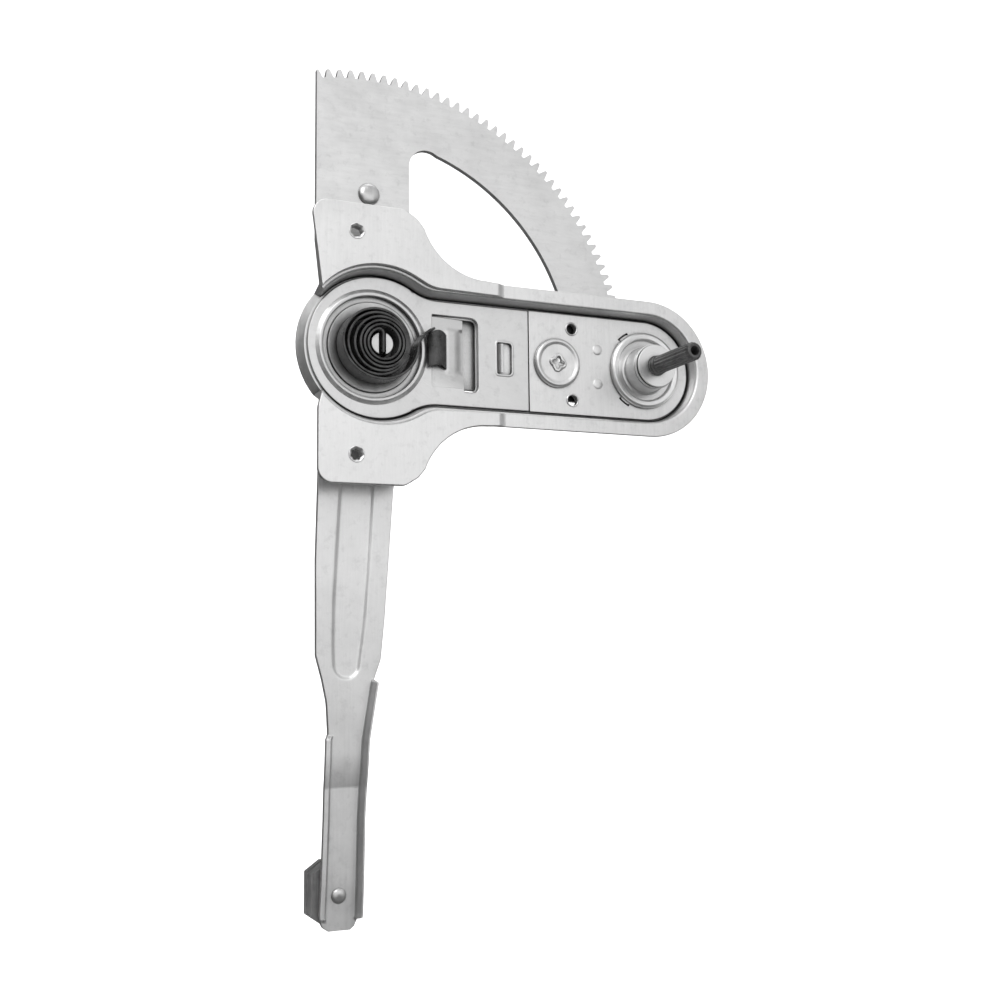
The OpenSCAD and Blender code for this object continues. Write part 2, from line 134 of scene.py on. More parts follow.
# plates
RING_X = 0.5
RING_R = 33.2
PLATE_HALF = 24.9
RING_FILLET = 24.0
HOLE_X = -2.0
HOLE_R = 24.2
SEAM = 77.4
SEAM_GAP = 0.35
CRANK_END_R = 25.0
SCREW_X = 101.0
SCREW_Z = 17.9
SCREW_R = 2.65
PIP_X = 115.3
PIP_Z = 8.6
TAB_ANGLE = 125
SLOT_LEFT = 60.7
SLOT_RIGHT = 68.6
SLOT_HALF = 7.8
FLAP_START = 24.9
FLAP_DROP = math.tan(math.radians(6))
FLAP_LEFT = 24.7
FLAP_BOTTOM = -18.0
FLAP_GRID = (0.35, 0.4)

# crank unit
DRUM_R = 11.0
SPINDLE_R = 4.5
SERRATIONS = 16
FLUTE_DEPTH = 0.34
FLUTES_FROM = 21.9


# ---------------------------------------------------------------- flat drawing helpers

def polar(r, a, x=0.0, z=0.0):
    """The point at a radius and an angle in degrees from a centre."""
    return (x + r * math.cos(math.radians(a)), z + r * math.sin(math.radians(a)))


def arc(x, z, r, start, end, step=4.0):
    """Points on a circle from one angle to another, both included."""
    n = max(2, math.ceil(abs(end - start) / step))
    return [polar(r, start + (end - start) * i / n, x, z) for i in range(n + 1)]


def corners(points, closed=True, steps=5):
    """Points are (u, v, radius): each corner is replaced with steps + 1 points on a curve."""
    made = []
    n = len(points)
    for i, (u, v, r) in enumerate(points):
        if r == 0 or (not closed and i in (0, n - 1)):
            made.append((u, v))
            continue
        here = Vector((u, v))
        before = Vector(points[i - 1][:2]) - here
        after = Vector(points[(i + 1) % n][:2]) - here
        turn = before.angle(after, math.pi) if before.length and after.length else math.pi
        cut = r / math.tan(max(turn, 0.2) / 2)
        cut = min(cut, 0.48 * before.length, 0.48 * after.length)
        a = here + (before.normalized() * cut if before.length else before)
        b = here + (after.normalized() * cut if after.length else after)
        for k in range(steps + 1):
            t = k / steps
            made.append(tuple(a * (1 - t) ** 2 + here * 2 * t * (1 - t) + b * t * t))
    return made


def area(loop):
    """Signed area: above 0 for a loop that runs counter-clockwise."""
    return sum(a[0] * b[1] - b[0] * a[1] for a, b in zip(loop, loop[1:] + loop[:1])) / 2


def inset(loop, d):
    """Moves a closed loop to the left of its direction by d."""
    made = []
    for i, p in enumerate(loop):
        ahead = Vector(loop[(i + 1) % len(loop)]) - Vector(p)
        behind = Vector(p) - Vector(loop[i - 1])
        left = Vector((-ahead.y, ahead.x)).normalized() + Vector((-behind.y, behind.x)).normalized()
        miter = left.length / 2
        made.append(tuple(Vector(p) + left.normalized() * d / max(miter, 0.5)))
    return made


def smooth(low, high, value):
    """0 at low and 1 at high, with an even start and end; low may be the larger of the two."""
    t = min(1.0, max(0.0, (value - low) / (high - low)))
    return t * t * (3 - 2 * t)


def along(table, value):
    """Value on the straight lines through (position, value) pairs, held beyond both ends."""
    for (a, low), (b, high) in zip(table, table[1:]):
        if min(a, b) <= value <= max(a, b):
            return low + (high - low) * (value - a) / (b - a)
    return table[0][1] if abs(value - table[0][0]) < abs(value - table[-1][0]) else table[-1][1]


# ---------------------------------------------------------------- mesh helpers

class Shape:
    """The points and faces of one piece. They are welded where they meet."""

    def __init__(self):
        self.points = []
        self.faces = []

    def skin(self, rows, ring=False, loop=False):
        """Faces between rows of points; ring closes each row and loop closes the rows."""
        base, n, m = len(self.points), len(rows[0]), len(rows)
        for row in rows:
            self.points += row
        for i in range(m if loop else m - 1):
            for j in range(n if ring else n - 1):
                a, b = base + i * n, base + (i + 1) % m * n
                self.faces.append((a + j, a + (j + 1) % n, b + (j + 1) % n, b + j))
        return self

    def fill(self, *loops):
        """A flat face inside the first loop, without the holes that the others bound."""
        base = len(self.points)
        for loop in loops:
            self.points += loop
        for face in tessellate_polygon([list(loop) for loop in loops]):
            self.faces.append(tuple(base + i for i in face))
        return self

    def lathe(self, x, z, profile, steps=96, wave=None):
        """Turns (radius, level) points round an axis; wave(angle, radius, level) moves them.

        The points close on themselves, unless both ends lie on the axis.
        """
        rows = []
        solid = profile[0][0] == 0 and profile[-1][0] == 0
        for r, h in profile if solid else profile + profile[:1]:
            row = []
            for k in range(steps):
                a = 360 * k / steps
                dr, dh = wave(a, r, h) if wave else (0, 0)
                row.append(at(*polar(r + dr, a, x, z), h + dh))
            rows.append(row)
        return self.skin(rows, ring=True)

    def sheet(self, loops, low, high, edge=0.4, low_edge=0.3):
        """A sheet between two levels; loops[0] is its outline, the others its holes."""
        rows_of = []
        for i, loop in enumerate(loops):
            if (area(loop) > 0) != (i == 0):
                loop = loop[::-1]
            rows = []
            for d, h in edge_profile(low, high, edge, low_edge):
                rows.append([at(*p, h) for p in inset(loop, d)])
            self.skin(rows, ring=True)
            rows_of.append(rows)
        self.fill(*[rows[0] for rows in rows_of])
        self.fill(*[rows[-1] for rows in rows_of])
        return self


def edge_profile(low, high, edge, low_edge, steps=4):
    """(inset, level) points down a sheet's rounded edge, from its front face to its back face."""
    down = []
    under = []
    for k in range(steps + 1):
        a = math.radians(90 * k / steps)
        down.append((edge * (1 - math.sin(a)), high - edge * (1 - math.cos(a))))
        under.append((low_edge * (1 - math.cos(a)), low + low_edge * (1 - math.sin(a))))
    return down + under


WELD = 0.0008 * MM
SLIVER = 0.0004 * MM
SHARP = math.radians(38)


def piece(name, shape, body, finish, stands_for=()):
    """Makes the welded mesh, ties it to its CAD body and hides the CAD nodes it stands for."""
    mesh = bpy.data.meshes.new(name)
    mesh.from_pydata(shape.points, [], shape.faces)
    b = bmesh.new()
    b.from_mesh(mesh)
    bmesh.ops.remove_doubles(b, verts=b.verts, dist=WELD)
    bmesh.ops.dissolve_degenerate(b, dist=SLIVER, edges=b.edges)
    bmesh.ops.recalc_face_normals(b, faces=b.faces)
    b.to_mesh(mesh)
    b.free()
    mesh.polygons.foreach_set("use_smooth", [True] * len(mesh.polygons))
    mesh.set_sharp_from_angle(angle=SHARP)
    mesh.materials.append(finish)
    o = bpy.data.objects.new(name, mesh)
    bpy.context.scene.collection.objects.link(o)
    weighted = o.modifiers.new("weighted", "WEIGHTED_NORMAL")
    weighted.keep_sharp = True
    weighted.weight = 80
    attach(o, body)
    if stands_for:
        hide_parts(*stands_for)
    return o


# ---------------------------------------------------------------- materials

class Nodes:
    """A short way to write a node tree."""

    def __init__(self, name):
        self.material = bpy.data.materials.new(name)
        self.material.use_nodes = True
        self.tree = self.material.node_tree
        self.shader = self.tree.nodes["Principled BSDF"]
        self.coords = self.tree.nodes.new("ShaderNodeTexCoord").outputs["Object"]

    def link(self, source, target):
        """Joins one node's output to another's input."""
        self.tree.links.new(source, target)

    def stretched(self, x, y, z):
        """Object coordinates scaled apart, for grain that runs one way."""
        node = self.tree.nodes.new("ShaderNodeMapping")
        node.inputs["Scale"].default_value = (x, y, z)
        self.link(self.coords, node.inputs["Vector"])
        return node.outputs["Vector"]

    def around(self, x, turns):
        """Coordinates that run round an axis through x, for turned or radial grain."""
        moved = self.tree.nodes.new("ShaderNodeVectorMath")
        moved.operation = "SUBTRACT"
        moved.inputs[1].default_value = (x, 0, 0)
        self.link(self.coords, moved.inputs[0])
        split = self.tree.nodes.new("ShaderNodeSeparateXYZ")
        self.link(moved.outputs[0], split.inputs[0])
        angle = self.tree.nodes.new("ShaderNodeMath")
        angle.operation = "ARCTAN2"
        self.link(split.outputs["Z"], angle.inputs[0])
        self.link(split.outputs["X"], angle.inputs[1])
        size = self.tree.nodes.new("ShaderNodeVectorMath")
        size.operation = "LENGTH"
        self.link(moved.outputs[0], size.inputs[0])
        joined = self.tree.nodes.new("ShaderNodeCombineXYZ")
        self.link(angle.outputs[0], joined.inputs["X"])
        self.link(size.outputs["Value"], joined.inputs["Y"])
        scaled = self.tree.nodes.new("ShaderNodeVectorMath")
        scaled.operation = "MULTIPLY"
        scaled.inputs[1].default_value = turns
        self.link(joined.outputs[0], scaled.inputs[0])
        return scaled.outputs[0]

    def noise(self, scale, detail=4.0, roughness=0.55, coords=None):
        """Cloudy values from 0 to 1; a higher scale gives smaller clouds."""
        node = self.tree.nodes.new("ShaderNodeTexNoise")
        node.inputs["Scale"].default_value = scale
        node.inputs["Detail"].default_value = detail
        node.inputs["Roughness"].default_value = roughness
        self.link(coords or self.coords, node.inputs["Vector"])
        return node.outputs["Fac"]

    def ramp(self, value, *stops):
        """stops are (position, colour or grey)."""
        node = self.tree.nodes.new("ShaderNodeValToRGB")
        elements = node.color_ramp.elements
        while len(elements) < len(stops):
            elements.new(0.5)
        for element, (position, colour) in zip(elements, stops):
            grey = isinstance(colour, (int, float))
            element.position = position
            element.color = (colour, colour, colour, 1) if grey else (*colour, 1)
        self.link(value, node.inputs["Fac"])
        return node.outputs["Color"]

    def mix(self, kind, factor, a, b):
        """Colour a with colour b laid over it; kind is Blender's name for the way."""
        node = self.tree.nodes.new("ShaderNodeMix")
        node.data_type = "RGBA"
        node.blend_type = kind
        colours = [s for s in node.inputs if s.type == "RGBA"]
        node.inputs[0].default_value = factor
        self.link(a, colours[0])
        self.link(b, colours[1])
        return [s for s in node.outputs if s.type == "RGBA"][0]

    def crevice(self, reach):
        """0 deep in a gap, 1 on an open face."""
        node = self.tree.nodes.new("ShaderNodeAmbientOcclusion")
        node.samples = 6
        node.inputs["Distance"].default_value = reach
        return node.outputs["AO"]

    def bump(self, strength, distance, value, under=None):
        """Small relief from a value, on top of an earlier relief if one is given."""
        node = self.tree.nodes.new("ShaderNodeBump")
        node.inputs["Strength"].default_value = strength
        node.inputs["Distance"].default_value = distance
        self.link(value, node.inputs["Height"])
        if under is not None:
            self.link(under, node.inputs["Normal"])
        return node.outputs["Normal"]


def grey(value):
    """A colour with the same value in red, green and blue."""
    return (value, value, value)


def zinc(name, light, dark, roughness, grain=None, grain_depth=0.10, scuffed=0.12, reach=4):
    """Zinc-plated steel: cloudy plating, rolling or turning grain, scuffs, and painted shade darkening the
    gaps.

    reach is how far from a wall the painted shade shows, in mm.
    """
    n = Nodes(name)
    lines = n.noise(9, 3, 0.6, grain(n) if grain else n.stretched(60, 60, 6))
    clouds = n.noise(42, 6, 0.6)
    scuffs = n.noise(230, 3, 0.7)
    colour = n.ramp(clouds, (0.32, grey(dark)), (0.62, grey(light)))
    marks = n.ramp(scuffs, (0.30, 0.80), (0.46, 1.0))
    streaks = n.ramp(lines, (0.30, 0.90), (0.60, 1.0))
    # painted shade: an occlusion node darkens the colour in gaps, recesses and under overhangs
    crevice_shade = n.ramp(n.crevice(reach * MM), (0.28, 0.04), (0.56, 0.50), (0.80, 1.0))
    colour = n.mix("MULTIPLY", 4 * scuffed, colour, marks)
    colour = n.mix("MULTIPLY", 0.7, colour, streaks)
    n.link(n.mix("MULTIPLY", 1.0, colour, crevice_shade), n.shader.inputs["Base Color"])
    gloss = n.mix("MIX", 0.5, clouds, lines)
    dull = n.ramp(gloss, (0.25, roughness - 0.09), (0.75, roughness + 0.12))
    n.link(dull, n.shader.inputs["Roughness"])
    under = n.bump(grain_depth, 0.0006, lines)
    n.link(n.bump(scuffed, 0.0004, scuffs, under), n.shader.inputs["Normal"])
    n.shader.inputs["Metallic"].default_value = 0.92
    return n.material


def oxide(name, light, dark, roughness, stretch):
    """Blackened steel: oily sheen, drawn lines and paler rubbed patches."""
    n = Nodes(name)
    patches = n.noise(160, 5, 0.6)
    fine = n.noise(30, 4, 0.6, n.stretched(*stretch))
    colour = n.mix("MULTIPLY", 0.6, n.ramp(patches, (0.35, grey(dark)), (0.7, grey(light))),
                   n.ramp(fine, (0.3, 0.5), (0.65, 1.0)))
    n.link(colour, n.shader.inputs["Base Color"])
    dull = n.ramp(patches, (0.3, roughness - 0.08), (0.7, roughness + 0.12))
    n.link(dull, n.shader.inputs["Roughness"])
    n.link(n.bump(0.2, 0.0003, fine), n.shader.inputs["Normal"])
    n.shader.inputs["Metallic"].default_value = 0.6
    return n.material


def nylon(name, light, dark):
    """Machined grey nylon: fine lines across the faces and a dull, patchy sheen."""
    n = Nodes(name)
    patches = n.noise(120, 5, 0.6)
    lines = n.noise(10, 4, 0.6, n.stretched(160, 40, 6))
    colour = n.mix("MULTIPLY", 0.7, n.ramp(patches, (0.3, grey(dark)), (0.7, grey(light))),
                   n.ramp(lines, (0.35, 0.62), (0.6, 1.0)))
    n.link(colour, n.shader.inputs["Base Color"])
    n.link(n.ramp(lines, (0.3, 0.42), (0.7, 0.62)), n.shader.inputs["Roughness"])
    n.link(n.bump(0.35, 0.0004, lines), n.shader.inputs["Normal"])
    return n.material


def turning(x, tightness):
    """Grain round an axis at x in the drawing; a high tightness gives fine rings."""
    return lambda n: n.around(PIVOT_X + x * MM, tightness)


ZINC_PLATE = zinc("zinc_plate", 0.80, 0.70, 0.36)
ZINC_RING = zinc("zinc_ring", 0.70, 0.60, 0.34, turning(HOLE_X, (1.6, 3, 1)), 0.14)
# painted shade: a darker, patchy zinc and a longer reach darken the spring's well and the gap round the
# dish
ZINC_SEAT_SHADED = zinc("zinc_seat_shaded", 0.66, 0.34, 0.34, turning(HOLE_X, (1.6, 300, 1)), 0.05, 0.06, 6)
# painted shade reaches 8 mm on the gear, to darken the sector deep under the tray and through the slot
ZINC_GEAR = zinc("zinc_gear", 0.78, 0.68, 0.42, lambda n: n.stretched(12, 20, 60), reach=8)
# painted shade reaches 6 mm on the arm, to darken the inner wall of its flange and the web beside it
ZINC_ARM = zinc("zinc_arm", 0.78, 0.66, 0.36, lambda n: n.stretched(70, 40, 5), reach=6)
ZINC_SMALL = zinc("zinc_small", 0.68, 0.50, 0.30)
ZINC_DRUM = zinc("zinc_drum", 0.84, 0.76, 0.34, turning(CRANK, (0.4, 320, 1)), 0.01, 0.01)
SPRING_BLACK = oxide("spring_black", 0.105, 0.035, 0.30, (60, 9, 60))
SPINDLE_BLACK = oxide("spindle_black", 0.150, 0.060, 0.36, (60, 12, 60))
NYLON_GREY = nylon("nylon_grey", 0.17, 0.10)


# ---------------------------------------------------------------- tray, wings and plates

def tray_path():
    """(point, outward direction) along the tray's wall, from the upper left over the crank end."""
    upper = [((WALL_R * u, WALL_R * v), (u, v)) for u, v in arc(0, 0, 1, OPEN_A, FILLET_A)]
    for u, v in arc(0, 0, 1, 180 + FILLET_A, 270):
        upper.append(((FILLET_X + FILLET * u, FILLET_Z + FILLET * v), (-u, -v)))
    turn = [((CRANK + NECK * u, NECK * v), (u, v)) for u, v in arc(0, 0, 1, 90, -90)]
    lower = [((x, -z), (u, -v)) for (x, z), (u, v) in reversed(upper)]
    return upper + turn + lower


def tray_section(rim_w, rim_h):
    """(outward, level) points over the bent sheet; a rim at the floor's level gives a flat edge."""
    foot = 1.1 * (rim_h > FLOOR_TOP)
    return corners([
        (-2.6, FLOOR_TOP, 0), (-1.5, FLOOR_TOP, 0.9), (0, rim_h, 1.7), (rim_w, rim_h, 0.45),
        (rim_w, rim_h - SHEET_T, 0.3), (foot, rim_h - SHEET_T, 0.5), (-0.5, FLOOR_BACK, 1.6),
        (-2.6, FLOOR_BACK, 0),
    ], closed=False)


def low_edge_section():
    """The same sheet where no wall stands: its edge is turned down."""
    flat = tray_section(LOW_EDGE_W, FLOOR_TOP)
    return [(o, h - LOW_EDGE_DROP * smooth(-1.9, 1.6, o)) for o, h in flat]


def tray_holes():
    """Holes in the floor: post, crank, button, the crank plate's two screws, and under the flap."""
    holes = [arc(0, 0, POST_HOLE_R, 0, 352, 8), arc(CRANK, 0, 7.6, 0, 352, 8)]
    holes.append(arc(BUTTON, 0, BUTTON_HOLE_R, 0, 345, 15))
    holes += [arc(SCREW_X, s * SCREW_Z, SCREW_R, 0, 345, 15) for s in (-1, 1)]
    holes.append(corners([(25.6, -17.4, 1), (50.3, -17.4, 3), (50.3, 17.4, 3), (25.6, 17.4, 1)]))
    return holes


def tray():
    """The pressed tray: floor, wall and rim, with the post's collar standing on the floor."""
    wall = tray_section(RIM_W, RIM_TOP)
    flat = low_edge_section()
    shape = Shape()
    rows = []
    for (x, z), (u, v) in tray_path():
        rows.append([at(max(x + u * o, RIM_LEFT), z + v * o, h) for o, h in wall])
    for u, v in arc(0, 0, 1, -OPEN_A - 1.5, OPEN_A - 358.5, 3):
        rows.append([at(u * (WALL_R + o), v * (WALL_R + o), h) for o, h in flat])
    shape.skin(rows, loop=True)
    walls = [[[at(x, z, h) for x, z in hole] for h in (FLOOR_TOP, FLOOR_BACK)] for hole in tray_holes()]
    for pair in walls:
        shape.skin(pair, ring=True)
    shape.fill([row[0] for row in rows], *[pair[0] for pair in walls])
    shape.fill([row[-1] for row in rows], *[pair[1] for pair in walls])
    collar = corners([(POST_HOLE_R, FLOOR_TOP - 0.4, 0), (8.4, FLOOR_TOP - 0.4, 0),
                      (8.4, PLATE_TOP, 0.4), (POST_HOLE_R, PLATE_TOP, 0.3)])
    shape.lathe(0, 0, collar)
    return piece("tray", shape, "frame", ZINC_PLATE, ["base_plate"])


def spring_seat():
    """Shallow dish pressed up in the tray's floor under the spring, in a darker zinc whose colour paints
    the shade of the spring's well.
    """
    dish = corners([(9, FLOOR_TOP - 0.3, 0), (9, FLOOR_TOP + 0.05, 0), (20.9, FLOOR_TOP + 1.3, 0.3),
                    (21.3, FLOOR_TOP + 0.9, 0.2), (21.5, FLOOR_TOP - 0.3, 0)])
    return piece("spring_seat", Shape().lathe(HOLE_X, 0, dish, 128), "frame", ZINC_SEAT_SHADED)


def wing_outline(lean):
    """The upper wing, counter-clockwise from its lower left corner; its left edge leans out by lean.

    A steep edge runs straight to the tray's wall, and any other has a rounded corner on the way.
    """
    inner = WALL_R + WING_GAP
    start = math.degrees(math.acos((WING_LEFT - 0.3) / inner))
    meet = FILLET_A + 1
    points = arc(0, 0, inner, start, meet)
    points += arc(FILLET_X + 1.2, FILLET_Z, FILLET - 1.3, 180 + meet, 268)
    points += [(WING_RIGHT, NECK + 0.7)]
    points += corners([(WING_RIGHT, 34.4, 1.2), (52.0, 35.0, 0)], closed=False)[-6:-1]
    points += arc(52, 68, 33, -90, -160)
    points += corners([(20.9, 57, 0), (17.5, 61, 3), (11, 65, 6), (-22, 65, 0)], closed=False)[1:-1]
    left = WING_LEFT - lean
    points += arc(left + 7, 58, 7, 90, 180)
    if lean < STEEP_LEAN:
        points += corners([(left, 57, 0), (left, 31, 8), (WING_LEFT, 22.5, 0)], closed=False)[1:-1]
    return points[::-1]


def press_down(o):
    """Cuts a wing across its right end and ramps that end down on to the tray's rim."""
    b = bmesh.new()
    b.from_mesh(o.data)
    for k in range(RAMP_CUTS + 1):
        x = RAMP[0] + (RAMP[1] - RAMP[0]) * k / RAMP_CUTS
        whole = b.verts[:] + b.edges[:] + b.faces[:]
        bmesh.ops.bisect_plane(b, geom=whole, plane_co=at(x, 0, 0), plane_no=(1, 0, 0))
    for v in b.verts:
        x, h = (v.co.x - PIVOT_X) / MM, (SECTOR_FACE - v.co.y) / MM
        sunk = RIM_TOP + (h - RIM_TOP) * (1 - RAMP_DEPTH * smooth(*RAMP, x))
        v.co.y = SECTOR_FACE - (sunk if h > RIM_TOP else h) * MM
    b.to_mesh(o.data)
    b.free()


def wing(name, side, lean):
    """Wing sheet with its screw hole drawn out to the back and its right end set down on to the rim."""
    outline = [(x, z * side) for x, z in wing_outline(lean)]
    hole = arc(WING_HOLE_X, side * WING_HOLE_Z, 3.0, 0, 350, 10)
    shape = Shape().sheet([outline, hole], RIM_TOP, WING_TOP, edge=0.55)
    collar = corners([(2.6, RIM_TOP - 2.6, 0.3), (3.9, RIM_TOP - 2.6, 0.3), (4.1, WING_TOP - 0.25, 0),
                      (3.6, WING_TOP + 0.25, 0.4), (2.5, WING_TOP - 0.4, 0.5)])
    shape.lathe(WING_HOLE_X, side * WING_HOLE_Z, collar, 48, ragged)
    press_down(piece(name + "_sheet", shape, "frame", ZINC_PLATE, [name]))


def ragged(angle, r, h):
    """The torn edges of a drawn hole: its mouth and its far end."""
    a = math.radians(angle)
    mouth = smooth(4.0, 3.0, r)
    depth = smooth(RIM_TOP, RIM_TOP - 3, h)
    tear = math.sin(5 * a) * math.sin(2 * a + 1)
    return (0.28 * math.sin(3 * a + 0.6) - 0.45 * tear) * mouth, 0.5 * depth * tear


def ring_outline():
    """The ring plate's edge: a round end, a fillet on each side, and a neck that stops at the seam."""
    fillet_z = PLATE_HALF + RING_FILLET
    reach = math.sqrt((RING_R + RING_FILLET) ** 2 - fillet_z ** 2)
    fillet_x = RING_X + reach
    meet = math.degrees(math.atan2(fillet_z, reach))
    upper = arc(RING_X, 0, RING_R, 180, meet, 3)
    upper += arc(fillet_x, fillet_z, RING_FILLET, 180 + meet, 270, 3)
    neck = [(fillet_x, PLATE_HALF, 0), (SEAM, PLATE_HALF, 0.7), (SEAM, 0, 0)]
    upper += corners(neck, closed=False)[1:-1]
    return upper + [(px, -pz) for px, pz in reversed(upper[1:])]


def slot_corners(left_r, right_r):
    """The small slot in the ring plate, with its own radius on the left and on the right."""
    return [(SLOT_LEFT, SLOT_HALF, left_r), (SLOT_RIGHT, SLOT_HALF, right_r),
            (SLOT_RIGHT, -SLOT_HALF, right_r), (SLOT_LEFT, -SLOT_HALF, left_r)]


def ring_plate():
    """The ring plate with its raised lip round the spring."""
    hole = arc(HOLE_X, 0, HOLE_R, 0, 357, 3)
    window = corners([(27.5, 18.2, 0.4), (50.9, 18.2, 4.5), (50.9, -18, 4), (43.8, -18, 0.8),
                      (43.8, -16, 0.8), (27.5, -16, 0.8)])
    slot = corners(slot_corners(0.6, 1.8))
    shape = Shape().sheet([ring_outline(), hole, window, slot], PLATE_BACK, PLATE_TOP, edge=0.45)
    lip = corners([(23.8, FLOOR_TOP + 0.1, 0.2), (26.8, FLOOR_TOP + 0.4, 0), (27.2, PLATE_TOP - 0.05, 0),
                   (25.2, PLATE_TOP + 1.1, 1.4), (23.8, PLATE_TOP + 0.9, 0.5)])
    shape.lathe(HOLE_X, 0, lip, 144)
    return piece("ring_sheet", shape, "frame", ZINC_RING, ["ring_plate"])


def flap_level(x, z):
    """Level of the spring anchor flap's front face: it is pressed in to the right, and its end drops."""
    free = smooth(-18.2, -7.0, z)
    drop = FLAP_DROP * (x - FLAP_START) * free
    tongue = smooth(-10.4, -7.4, z) * (1 - smooth(10.8, 13.0, z))
    rise = 0.4 * smooth(33.8, 36.2, x) - 1.2 * smooth(39.0, 43.4, x)
    return PLATE_TOP - drop + rise * tongue


def flap():
    """The flap that anchors the spring, bent out of the ring plate."""
    xs = [FLAP_LEFT + FLAP_GRID[0] * i for i in range(55)]
    zs = [FLAP_BOTTOM + FLAP_GRID[1] * i for i in range(89)]
    rows = []
    for x in xs:
        fore = [at(x, z, flap_level(x, z) - 0.03 * (x < FLAP_START or z < -17.8)) for z in zs]
        aft = [at(x, z, flap_level(x, z) - INNER_T) for z in reversed(zs)]
        rows.append(fore + aft)
    shape = Shape().skin(rows, ring=True).fill(rows[0]).fill(rows[-1])
    return piece("spring_flap", shape, "frame", ZINC_RING)


def slot_lip():
    """Raised border of the small slot and the tab bent up inside it."""
    path = corners(slot_corners(1.0, 2.2), steps=6)
    section = [(1.1, 0.0), (0.8, 0.16), (0.4, 0.24), (0.0, 0.14), (-0.1, -0.4), (1.0, -0.4)]
    rows = [[at(*p, PLATE_TOP + h) for p in inset(path, o)] for o, h in section]
    shape = Shape().skin(rows, ring=True, loop=True)
    fore = []
    aft = []
    for k in range(9):
        a = math.radians(75 * k / 8)
        x = 60.5 + 2.4 * (k / 8)
        h = PLATE_TOP - 1.2 + 2.6 * math.sin(a)
        fore.append((x, h))
        aft.append((x + math.sin(a) * 0.5 + 0.2, h - math.cos(a) * 0.5))
    rows = [[at(x, z, h) for x, h in fore + aft[::-1]] for z in (-7.0, -6.7, 0, 6.7, 7.0)]
    shape.skin(rows, ring=True).fill(rows[0]).fill(rows[-1])
    return piece("slot_lip", shape, "frame", ZINC_RING)


def crank_outline():
    """The crank plate's edge: straight at the seam, round at the crank."""
    left = SEAM + SEAM_GAP
    half = [(left, 0), (left, PLATE_HALF)] + arc(CRANK, 0, CRANK_END_R, 90, 0, 3)
    return half[::-1][:-1] + [(x, -z) for x, z in half[1:]]


def crank_plate():
    """The crank plate with a burr round each screw hole and two pressed pips."""
    t = PLATE_TOP
    holes = [arc(CRANK, 0, 8, 0, 355, 5), arc(BUTTON, 0, BUTTON_HOLE_R, 0, 345, 15)]
    holes += [arc(SCREW_X, s * SCREW_Z, SCREW_R, 0, 350, 10) for s in (-1, 1)]
    for s in (-1, 1):
        a = s * TAB_ANGLE - 9
        b = s * TAB_ANGLE + 9
        holes.append(arc(CRANK, 0, 20.9, a, b, 3) + arc(CRANK, 0, 19.9, b, a, 3))
    shape = Shape().sheet([crank_outline()] + holes, PLATE_BACK, t, edge=0.22, low_edge=0.15)
    burr = corners([(2.55, t - 1, 0), (3.6, t - 1, 0), (3.5, t + 0.02, 0.2), (3.0, t + 0.4, 0.4),
                    (2.6, t + 0.1, 0.3)])
    dome = [(0, t - 1), (2.7, t - 1), (2.7, t - 0.02), (2.3, t + 0.18), (1.6, t + 0.3), (0.8, t + 0.35),
            (0, t + 0.36)]
    for s in (-1, 1):
        shape.lathe(SCREW_X, s * SCREW_Z, burr, 48)
        shape.lathe(PIP_X, s * PIP_Z, dome, 40)
    return piece("crank_sheet", shape, "frame", ZINC_PLATE, ["crank_plate"])


def button():
    """Riveted guide button with a rolled edge and a staked middle."""
    t = PLATE_TOP
    profile = corners([(0, 0.5, 0), (8, 0.5, 0.4), (8, FLOOR_BACK, 0), (3, FLOOR_BACK, 0), (3, t, 0),
                       (12.4, t, 0.3), (12.2, t + 1.4, 1.3), (10.9, t + 2.3, 1.4), (9.2, t + 1.55, 1.4),
                       (4.4, t + 1.5, 0.3), (3.8, t + 2.2, 0.4), (2.8, t + 2.2, 0.4), (2.1, t + 1.2, 0.3),
                       (0, t + 1.0, 0)], closed=False)

    def stake(angle, r, h):
        """The staking tool's marks in the middle."""
        a = math.radians(angle)
        near = smooth(5.4, 3.6, r) * smooth(0.3, 1.6, r) * (h > t)
        return 0.65 * math.cos(4 * a + 0.7) * near, 0.25 * math.sin(3 * a) * near

    shape = Shape().lathe(BUTTON, 0, profile, 96, stake)
    return piece("button", shape, "frame", ZINC_PLATE, ["guide_button"])


# ---------------------------------------------------------------- crank unit

def drum():
    """Staked collar, trough and raised drum, turned in one, and the two tabs that hold them."""
    t = PLATE_TOP
    groove_r = DRUM_R - 0.5
    bore_r = DRUM_R - 1.3
    profile = corners([
        (bore_r, t, 0), (19.4, t, 0.2), (19.3, t + 1.7, 1.0), (18.0, t + 2.5, 1.0), (15.9, t + 2.3, 0.6),
        (15.3, t + 0.4, 0.5), (12.6, t + 0.2, 0.5), (DRUM_R + 0.5, t + 0.6, 0.5),
        (DRUM_R, DRUM_TOP - 1.4, 0.2), (groove_r, DRUM_TOP - 1.2, 0.2), (groove_r, DRUM_TOP - 0.8, 0.2),
        (DRUM_R, DRUM_TOP - 0.6, 0.2), (DRUM_R, DRUM_TOP, 0.2), (bore_r, DRUM_TOP, 0.2)])
    shape = Shape().lathe(CRANK, 0, profile, 128)
    tab = corners([(18.6, t + 0.05, 0), (18.6, t + 0.3, 0.2), (20.2, t + 0.05, 0.4), (20.2, t - 1.4, 0),
                   (19.95, t - 1.4, 0), (19.9, t - 0.1, 0)])
    for s in (-1, 1):
        rows = []
        for u, v in arc(0, 0, 1, s * TAB_ANGLE - 6.8, s * TAB_ANGLE + 6.8, 2):
            rows.append([at(CRANK + u * r, v * r, h) for r, h in tab])
        shape.skin(rows, ring=True).fill(rows[0]).fill(rows[-1])
    return piece("drum", shape, "frame", ZINC_DRUM, ["brake_drum"])


